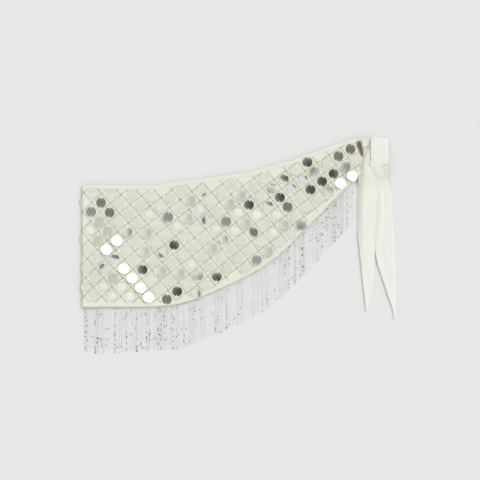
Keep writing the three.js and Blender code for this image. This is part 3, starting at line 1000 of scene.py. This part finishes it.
print("stitches")
stitching = {
    "width": 1.5,
    "thick": 0.34,
    "from": 4.9,
    "over": 7.7,
    "to": 8.3,
    "rise": {"front": 0.16, "back": -0.005},  # over the top of the paillette
    "lowest": 0.24,
    "backZ": (0.2, 0.85),
    "colour": (0.88, 0.87, 0.74),
}


def threadMaterial():
    material, tree, shader = newMaterial("ivoryThread", Roughness=0.7, Sheen_Weight=0.2)
    where = addNode(tree, "TexCoord").outputs["Object"]
    twist = addNode(tree, "TexWave", {"Vector": where}, bands_direction="DIAGONAL", Scale=550.0, Distortion=2.0)
    dark = tuple(value * 0.8 for value in stitching["colour"])
    colour = rampOf(tree, twist.outputs["Fac"], [(0.2, dark), (0.8, stitching["colour"])])
    tree.links.new(colour, shader.inputs["Base Color"])
    addRelief(tree, shader, twist.outputs["Fac"], 0.4, 0.0001)
    return material


threadFinish = threadMaterial()


def makeStitches():
    for side, rows in placed.items():
        here, _, long, normal, _ = (np.array(part) for part in zip(*rows))
        lift = paillette["thick"] / 2 + stitching["rise"][side]
        places = [
            (stitching["from"], -0.2),
            (stitching["from"] + 0.25, lift + 0.1),
            (stitching["from"] + 1.2, lift + 0.12),
            (stitching["over"] - 0.7, lift),
            (stitching["over"], lift - 0.2),
            (stitching["to"], -0.5),
            (stitching["to"] + 0.1, -0.9),
        ]
        paths = []
        for end in (1, -1):
            path = np.stack([here + long * end * out + normal * high for out, high in places], 1)
            if side == "front":
                cloth = clothPlace(path[:, 5:, 0] - apexX, path[:, 5:, 1], 0.1)[0][..., 2]
                path[:, 5:, 2] = np.minimum(path[:, 5:, 2], cloth - [0.0, 0.3])
                path[..., 2] = np.maximum(path[..., 2], stitching["lowest"])
            else:
                path[..., 2] = np.clip(path[..., 2], *stitching["backZ"])
            paths.append(path)
        up = np.concatenate([normal, normal])[:, None]
        points, faces, _ = manyTubes(np.concatenate(paths), stitching["width"] / 2, stitching["thick"] / 2, up)
        newPiece("stitches_" + side, points, faces, threadFinish)


makeStitches()


print("bead fringe")
fringe = {
    "count": 122,
    "from": -235.8,
    "to": 176,
    "shift": {"front": 0.25, "back": 0.75},
    "beadPitch": 1.9,
    "beadWidth": 1.3,
    "beadLength": 1.72,
    "restZ": 0.73,
    "backZ": 0.95,
    "sway": 0.16,
    "drop": 26,  # the front strands reach the surface this far below the hem
    "kinds": {  # colour and strength of a strand's beads, and its shares of dark and of bright ones, which are painted reflections and painted glints of the glass
        "clear": {"tone": (0.93, 0.94, 0.94, 0.035), "thread": (0.9, 0.91, 0.9, 0.1), "dark": 0.01, "paintedGlint": 0.02},
        "frosted": {"tone": (0.81, 0.82, 0.8, 0.08), "thread": (0.6, 0.605, 0.59, 0.18), "dark": 0.15, "paintedGlint": 0.3},
        "pale": {"tone": (1.0, 1.0, 1.0, 0.22), "thread": (1.0, 1.0, 1.0, 0.5), "dark": 0.02, "paintedGlint": 0.10},
    },
    "shares": {"front": (0.5, 0.2, 0.3), "back": (0.8, 0.05, 0.15)},
    # Painted reflection and painted glint: near-black and white opaque beads stand in for the dark and bright things
    # that the glass mirrors
    "dark": (0.08, 0.08, 0.08, 0.72),
    "underHem": {"tone": (0.6, 0.59, 0.56, 0.22), "to": 3.4, "uneven": (0.6, 1.2)},  # beads in the shade of the hem
    "paintedGlint": (1.0, 1.0, 1.0, 1.0),
    "darkAt": (1.35, 0.65),  # more dark beads at the fold, fewer at the knot
    "shades": (0.93, 1.05),
    "strengths": (0.6, 1.4),
    "hue": {"strength": 0.06, "size": 55, "turn": (0.8, -0.5, 1.0)},  # a faint drift of red, green and blue
    "cutEvery": 5,
    "cutWidth": 1.4,
    "cutLength": 1.8,
    "threadWidth": 0.26,
    "threadPoints": [0, 4, 10, 18, 30, 40, 47],  # those of a strand's 48 points that its thread needs
    "points": 48,
}


def strandX(side):
    spacing = (fringe["to"] - fringe["from"]) / fringe["count"]
    return fringe["from"] + spacing * (np.arange(fringe["count"]) + fringe["shift"][side])


# Short stitches over the edge of the front hem, one at each strand, which leave it ragged towards the knot
hemKnots = {
    "width": 1.7,
    "thick": 0.55,
    "up": 1.7,
    "down": (0.7, 4.6),
    "drift": 0.25,
    "ragged": (20, 110),
    "sewn": [(-1, -0.1), (-0.7, 0.12)],  # shares of up, and how high over the turned hem
    "hanging": [(0.5, 0.85), (0.92, 0.7), (1, 0.2)],  # shares of down, and how high over the cloth's middle
}


def makeHemKnots():
    x = strandX("front")
    hem = hemAt(x)
    ragged = 0.25 + 0.75 * smoothstep(*hemKnots["ragged"], x)
    least, most = hemKnots["down"]
    down = least + (most - least) * chance.random(len(x)) ** 1.5 * ragged
    over = panel["cloth"] / 2 + panel["hemThick"]
    drift = chance.normal(0, hemKnots["drift"], len(x))
    outs = [(share * hemKnots["up"], over + high) for share, high in hemKnots["sewn"]] + [(-0.3, over + 0.2)]
    path = [(x - drift * out, hem - out, frontHeight(x, hem - min(out, 0)) + high) for out, high in outs]
    for share, high in hemKnots["hanging"]:
        path.append((x + drift * share, hem - down * share, frontHeight(x, hem) + high))
    path = np.stack([np.stack(place, -1) for place in path], 1)
    points, faces, _ = manyTubes(path, hemKnots["width"] / 2, hemKnots["thick"] / 2, (0, -0.3, 1.0))
    newPiece("hem_knots", points, faces, threadFinish)


def strandPaths(side, x, hem):
    solid = cadPoints("fringe_" + side)
    tip = np.array([solid[np.abs(solid[:, 0] - here) < 0.4, 1].min() for here in x])
    rootZ = (frontHeight(x, hem) if side == "front" else np.full_like(x, fringe["backZ"]))[:, None]
    y = (hem - 0.2)[:, None] + (tip + 0.9 - hem)[:, None] * np.linspace(0, 1, fringe["points"])
    fall = smoothstep(0, 1, (hem[:, None] - y) / (fringe["drop"] * rootZ / 3))
    z = rootZ + (fringe["restZ"] - rootZ) * fall
    sway = fringe["sway"] * ripples(np.broadcast_to(x[:, None] * 3, y.shape), y, 60, 8 if side == "front" else 9)
    return np.stack([x[:, None] + sway, y, z], -1)


def makeFringe(side, material, cutMaterial):
    x = strandX(side)
    hem = hemAt(x)
    paths = strandPaths(side, x, hem)
    hue, underHem = fringe["hue"], fringe["underHem"]
    placed, threadTones = [], []
    for k, path in enumerate(paths):
        steps = np.concatenate([[0], np.cumsum(np.linalg.norm(np.diff(path, axis=0), axis=1))])
        count = int(steps[-1] // fringe["beadPitch"])
        places = steps[-1] - (np.arange(count) + 0.5) * fringe["beadPitch"]
        at = np.stack([np.interp(places, steps, path[:, axis]) for axis in range(3)], 1)
        kindName = chance.choice(list(fringe["kinds"]), p=fringe["shares"][side])
        kind = fringe["kinds"][kindName]
        threadTones.append(kind["thread"])
        rows = np.tile(np.array(kind["tone"]), (count, 1))
        rows[:, :3] *= chance.uniform(*fringe["shades"], (count, 1))
        rows[:, 3] *= chance.uniform(*fringe["strengths"], count)
        drift = hue["strength"] * ripples(at[:, 0], at[:, 1], hue["size"], 12)[:, None]
        rows[:, :3] *= 1 + drift * np.array(hue["turn"])
        draw = chance.random(count)
        shaded = hem[k] - at[:, 1] < underHem["to"] * chance.uniform(*underHem["uneven"])
        if side == "front":
            rows[shaded] = underHem["tone"]
        darkShare = kind["dark"] * np.interp(k, [0, len(paths)], fringe["darkAt"])
        # Painted reflections and glints: some beads are made near-black or white
        rows[draw < darkShare] = fringe["dark"]
        rows[draw > 1 - kind["paintedGlint"]] = fringe["paintedGlint"]
        turn = int(chance.integers(0, fringe["cutEvery"]))
        cut = ((np.arange(count) + turn) % fringe["cutEvery"] == 0) & (kindName == "frosted")
        placed.append((at, -np.gradient(at, axis=0), cut, np.clip(rows, 0, 1)))
    centres, along, cut, tone = (np.concatenate(part) for part in zip(*placed))
    for name, size, chosen, paint, stands, waist in (
        ("fringe_beads_", "bead", ~cut, material, ["fringe_" + side], 0.55),
        ("fringe_cut_beads_", "cut", cut, cutMaterial, [], 0.3),
    ):
        lengths = np.full(chosen.sum(), fringe[size + "Length"])
        radius = fringe[size + "Width"] / 2
        points, faces, each = manyBeads(centres[chosen], along[chosen], radius, lengths, waist=waist)
        beads = newPiece(name + side, points, faces, paint, stands=stands,
                         shades={"tone": np.repeat(tone[chosen], each, axis=0)})
    beads.data.shade_flat()
    thin, radius = paths[:, fringe["threadPoints"]], fringe["threadWidth"] / 2
    points, faces, each = manyTubes(thin, radius, radius, (0, 0, 1.0), 4)
    newPiece("fringe_threads_" + side, points, faces, material,
             shades={"tone": np.repeat(threadTones, each, axis=0)})
    print("  beads in the", side, "fringe:", len(centres))


makeHemKnots()
clearBead = beadMaterial("clearBead", 0.08, 0.0, coat=0.4)
cutBead = beadMaterial("cutBead", 0.06, 0.35, coat=0.5)
for side in ("front", "back"):
    makeFringe(side, clearBead, cutBead)


print("fringe tapes")
tape = {"rows": (0.3, -0.2, -1.2, -2.2, -2.9), "thick": 0.45, "sag": 0.85, "backZ": 1.5}


def makeTape(side, material):
    x = np.linspace(fringe["from"] + 0.5, fringe["to"], 220)
    slope = (hemAt(x + 1) - hemAt(x - 1)) / 2
    away = unit(np.stack([slope, -np.ones_like(x)], 1))
    height = frontHeight(x, hemAt(x)) - tape["sag"] if side == "front" else np.full_like(x, tape["backZ"])
    upper, under = [], []
    for k, distance in enumerate(tape["rows"]):
        at = np.stack([x + away[:, 0] * distance, hemAt(x) + away[:, 1] * distance], 1)
        half = tape["thick"] / 2 * (0.4 if k in (0, len(tape["rows"]) - 1) else 1)
        upper.append(np.column_stack([at, height + half]))
        under.append(np.column_stack([at, height - half]))
    points = joined(*(np.array(part).transpose(1, 0, 2) for part in (upper, under)))
    return newPiece("fringe_tape_" + side, points, wallFaces(len(x), len(tape["rows"])), material,
                    shades=clothShades(points))


tieLook = {
    "colour": (0.872, 0.87, 0.812),
    "shade": (0.85, 0.85, 0.785),
    "deep": (0.70, 0.70, 0.62),
    "cloud": 0.03,
    "yarn": 1.1,
    "slub": 1.6,
    "relief": 0.28,
    "rough": 0.8,
    "sheen": 0.25,
}
tieCloth = clothMaterial("ivoryCrepe", tieLook)
tapes = [makeTape(side, tieCloth) for side in ("front", "back")]


print("tails of the tie")
tails = {
    "tie_tail_left": {
        "flat": (0.036, 0.252),
        "area": 0.0072,
        "leftSlope": 9,  # how far in from its left edge it reaches its full thickness
        "mouth": {"height": 10.6, "reach": 7, "from": (113, 120), "to": (127, 135)},  # here it rises to the band
        "hang": {"depth": 1.9, "reach": 10, "from": (97, 106)},  # its left edge hangs down towards the panel
        "curl": {"height": 2.3, "wide": 8, "from": 40, "to": 5},  # its left edge stands off the surface below here
        "rightSlope": {"under": 0.7, "free": 5, "from": -24, "to": 2},  # square where the right tail lies on it
        "creases": named(
            "share1 y1 share2 y2 width height",
            (0.3, 122, 0.2, -70, 0.12, 0.5),
            (0.5, 118, 0.44, 30, 0.09, -0.35),
            (0.48, 130, 0.44, -60, 0.24, 1.2),
        ),
        # Painted shade: darker strips along the left edge, where the tail's edge slopes away from the light
        "paintedShadeStrips": named(
            "side in width low high tone",
            ("left", 2.2, 3.4, -60, 60, (0.8, 0.8, 0.73)),
            ("left", 7.5, 4, 10, 70, (0.95, 0.95, 0.92)),
        ),
    },
    "tie_tail_right": {
        "flat": (0.032, 0.232),
        "area": 0.0055,
        "leftSlope": 6,
        "closer": {"y": 98, "wide": 9, "out": 3.2, "tall": 7, "rise": 0.9},  # its left edge over the left tail
        "end": {"from": (111, 119), "out": 3.2, "rise": 0.2},
        "curl": {"height": 2.3, "wide": 8, "from": -2, "to": -26},
        "rightSlope": {"under": 3, "free": 3, "from": 0, "to": 1},
        "creases": named(
            "share1 y1 share2 y2 width height",
            (0.3, 118, 0.3, 84, 0.16, 0.4),
            (0.66, 119, 0.92, 92, 0.1, -0.9),
            (0.62, 90, 0.55, -30, 0.14, 0.3),
        ),
        # Painted shade: a darker strip by the right edge below the band, where the cloth slopes away from the light
        "paintedShadeStrips": named(
            "side in width low high tone",
            ("right", 3.5, 6, 90, 103, (0.92, 0.925, 0.86)),
        ),
    },
}
# Where the right tail comes out over the lower edge of the band, from its own end upwards
apron = {
    "y": (120.1, 120.8, 121.6, 122.6, 123.8, 125.2, 126.6, 127.8, 128.6),
    "left": (197.9, 197.5, 197.3, 197.2, 197.1, 197.0, 197.0, 197.1, 197.5),
    "right": (223.0, 222.4, 217.0, 213.8, 212.9, 212.6, 212.6, 212.5, 211.8),
    "top": (11.32, 11.38, 11.44, 11.5, 11.58, 11.66, 11.76, 11.84, 11.84),
    "drop": (0.9, 1.5, 1.5, 0, 0, 0, 0, 0, 0),
    "thick": (1.0, 0.8, 0.6, 0.55, 0.5, 0.45, 0.4, 0.3, 0.2),
}
apronDrop = (213, 217.5)
apronRound = {"height": 0.25, "steep": 14, "reach": 1.6}
tailEdge = 0.42  # thickness of the cloth at the edges of a tail
tailCalm = 0.7  # how much of the solid's own folds are smoothed out
tailWaves = {"height": 0.12, "size": 22}
tailRows = 110


def tailCrease(share, y, crease):
    t = np.clip((y - crease["y1"]) / (crease["y2"] - crease["y1"]), 0, 1)
    line = crease["share1"] + (crease["share2"] - crease["share1"]) * t
    ends = 1 - smoothstep(0.75, 1, t)
    if crease["y1"] < 112:  # it starts below the knot
        ends = ends * smoothstep(0, 0.08, t)
    return crease["height"] * bump(share - line, crease["width"]) * ends


# Both sides of a tail's solid, read off its sections and laid out on finer rows
def tailGrid(nodeName):
    keys, sections = sectionsOf(cadPoints(nodeName), 1)
    grids = {"x": [], "top": [], "low": []}
    shares = np.linspace(0, 1, 9)
    for section in sections:
        xs = np.unique(np.round(section[:, 0], 2))
        columns = [section[np.abs(section[:, 0] - x) < 0.02, 2] for x in xs]
        places = xs[0] + (xs[-1] - xs[0]) * shares
        grids["x"].append(places)
        grids["low"].append(np.interp(places, xs, [heights.min() for heights in columns]))
        grids["top"].append(np.interp(places, xs, [heights.max() for heights in columns]))
    y = np.linspace(keys[0], keys[-1], tailRows)
    across = np.concatenate([[0, 0.006, 0.02, 0.045], np.linspace(0.08, 0.92, 23), [0.955, 0.98, 0.994, 1]])
    fine = []
    for grid in grids.values():
        wide = np.array([curveThrough(shares, row, across) for row in np.array(grid)])
        fine.append(np.array([curveThrough(keys, wide[:, k], y) for k in range(len(across))]).T)
    return across, y, fine


# The last rows of the right tail, over the band
def apronRows(across):
    ends = {name: np.array(values)[:, None] for name, values in apron.items()}
    x = ends["left"] + (ends["right"] - ends["left"]) * across
    edge = edgeRound(np.minimum(across, 1 - across) * apronRound["steep"], apronRound["reach"])
    top = ends["top"] - apronRound["height"] * (1 - edge) - ends["drop"] * smoothstep(*apronDrop, x)
    upper = np.stack([x, ends["y"] + 0 * x, top], -1)
    return upper, upper - ends["thick"][..., None] * [0, 0, 1], 0 * x + across, ends["right"] - ends["left"]


def makeTail(nodeName, look):
    across, y, (x, top, low) = tailGrid(nodeName)
    share, yy = np.meshgrid(across, y)
    width = x[:, -1:] - x[:, :1]
    fromLeft, fromRight = share * width, (1 - share) * width
    edge = np.minimum(fromLeft, fromRight)
    added = sum(tailCrease(share, yy, crease) for crease in look["creases"])
    added = added * smoothstep(0, 3, edge) + tailWaves["height"] * ripples(x, yy * 0.5, tailWaves["size"], 17)
    thick = top - low
    calm = thick[:, 2:-2].mean(1, keepdims=True)
    thick = thick * (1 - tailCalm) + calm * tailCalm
    slope = look["rightSlope"]
    reach = slope["free"] + (slope["under"] - slope["free"]) * smoothstep(slope["from"], slope["to"], yy)
    slopes = smoothstep(0, look["leftSlope"], fromLeft) * smoothstep(0, reach, fromRight)
    top = low + np.maximum(tailEdge + (thick - tailEdge) * slopes + added, tailEdge)
    if "mouth" in look:
        mouth = look["mouth"]
        near = (1 - smoothstep(0, mouth["reach"], fromRight)) * smoothstep(*mouth["from"], yy)
        top += np.maximum(mouth["height"] - top, 0) * near * (1 - smoothstep(*mouth["to"], yy))
    middle = (low + top) / 2
    rounded = edgeRound(edge, 0.5)
    top, low = middle + (top - middle) * rounded, middle + (low - middle) * rounded
    if "hang" in look:
        hang = look["hang"]
        down = hang["depth"] * (1 - smoothstep(0, hang["reach"], fromLeft)) * smoothstep(*hang["from"], yy)
        top, low = top - down, low - down
    curl = look["curl"]
    curled = curl["height"] * (1 - smoothstep(0, curl["wide"], fromLeft))
    curled = curled * (1 - smoothstep(curl["to"], curl["from"], yy))
    upper = np.stack([x, yy, top + curled], -1)
    under = np.stack([x, yy, np.maximum(low + curled, 0.02)], -1)
    if "closer" in look:
        closer, end = look["closer"], look["end"]
        last, leftEdge = smoothstep(*end["from"], yy), (1 - share) ** 3
        out = closer["out"] * bump(yy - closer["y"], closer["wide"]) + end["out"] * last
        rise = closer["rise"] * bump(yy - closer["y"], closer["tall"]) + end["rise"] * last
        for grid in (upper, under):
            grid[..., 0] -= out * leftEdge
            grid[..., 2] += rise * leftEdge
        parts = zip((upper, under, share, width), apronRows(across))
        upper, under, share, width = (np.concatenate(part) for part in parts)
        yy = upper[..., 1]
    tint = np.ones((*yy.shape, 4))
    # Each strip multiplies painted shade into the cloth's colour
    for paintedShadeStrip in look["paintedShadeStrips"]:
        inside = (share if paintedShadeStrip["side"] == "left" else 1 - share) * width - paintedShadeStrip["in"]
        here = bump(inside, paintedShadeStrip["width"]) * smoothstep(paintedShadeStrip["low"], paintedShadeStrip["high"], yy)
        if paintedShadeStrip["side"] == "right":  # not on the band
            here *= 1 - smoothstep(118, 121, yy)
        tint[..., :3] *= 1 - (1 - np.array(paintedShadeStrip["tone"])) * here[..., None]
    points, tint = joined(upper, under), tint.reshape(-1, 4)
    shades = clothShades(points, np.concatenate([tint, tint]))
    faces = wallFaces(len(upper), len(across))[:, ::-1]
    return newPiece("scarf_" + nodeName, points, faces, tieCloth, stands=[nodeName], shades=shades)


tailPieces = {name: makeTail(name, look) for name, look in tails.items()}


print("knot")
band = {
    "ends": (198.2, 225.4),
    "around": 96,
    "along": 44,
    "cloth": 0.7,
    "inset": 0.25,
    "curl": 0.45,
    "square": (0.5, 0.6),
    "ridges": named(
        "x width height",
        (203.4, 2.0, 0.25),
        (207.8, 1.6, -0.2),
        (212.5, 2.6, 0.2),
        (216.5, 1.6, -0.25),
        (220.8, 2.4, 0.3),
    ),
    "flat": (0.0272, 0.112),
}
gather = {"left": 197.95, "around": 136, "inset": 2.0, "pleats": 17, "depth": 0.55}


def knotSection(x, around, inset):
    keys, sections = sectionsOf(cadPoints("knot_band"), 0)
    sizes = np.array([(section[:, 1].max(), section[:, 1].min(), section[:, 2].max()) for section in sections]).T
    high, low, thick = (curveThrough(keys, values, np.clip(x, keys[0], keys[-1])) for values in sizes)
    angle = roundAngles(around)
    cos, sin = np.cos(angle)[:, None], np.sin(angle)[:, None]
    out = np.sign(cos) * np.abs(cos) ** band["square"][0]
    up = np.sign(sin) * np.abs(sin) ** band["square"][1]
    y = (high + low) / 2 + ((high - low) / 2 - inset) * out
    z = thick / 2 + (thick / 2 - inset) * up
    return np.stack([np.broadcast_to(x, y.shape), y, np.maximum(z, 0.02)], -1)


def makeBand():
    x = np.linspace(*band["ends"], band["along"])
    angle = roundAngles(band["around"])[:, None]
    wave = sum(ridge["height"] * bump(x - ridge["x"] - 0.8 * np.cos(angle), ridge["width"]) for ridge in band["ridges"])
    curl = band["curl"] * (1 - edgeRound(np.minimum(x - x[0], x[-1] - x), 1.0))
    inset = band["inset"] - 0.5 * wave
    outer = knotSection(x, band["around"], inset + curl)
    inner = knotSection(x, band["around"], inset + band["cloth"] - curl)
    points = joined(outer, inner)
    faces = wallFaces(band["around"], band["along"], isRound=True)[:, ::-1]
    return newPiece("scarf_knot_band", points, faces, tieCloth,
                    stands=["knot_band"], shades=clothShades(points))


def makeGather():
    x = np.concatenate([[0, 0.3, 0.9], np.linspace(2, 24.6, 12), [25.7, 26.35, 26.65]]) + gather["left"]
    around, columns = gather["around"], len(x)
    angle = roundAngles(around)[:, None]
    uneven = np.sin(gather["pleats"] * angle + 1.5 * np.sin(3 * angle) + 0.08 * x)
    ends = 0.5 * (1 - edgeRound(np.minimum(x - x[0], x[-1] - x), 0.9))
    rings = knotSection(x, around, gather["inset"] + gather["depth"] * uneven + ends)
    points = joined(rings, rings[:, [0, -1]].mean(0))
    k, j = (part.ravel() for part in np.meshgrid(np.arange(around), np.arange(columns - 1), indexing="ij"))
    after = (k + 1) % around
    faces = [[k * columns + j, k * columns + j + 1, after * columns + j + 1, after * columns + j]]
    k = np.arange(around)
    here, after = k * columns, (k + 1) % around * columns
    faces.append([here, after, np.full(around, around * columns)])
    faces.append([after + columns - 1, here + columns - 1, np.full(around, around * columns + 1)])
    faces = np.array([face for part in faces for face in np.stack(part, 1).tolist()], dtype=object)
    return newPiece("scarf_knot_gather", points, faces, tieCloth,
                    stands=["knot_core"], shades=clothShades(points))


knotBand = makeBand()
knotGather = makeGather()


print("sheets")
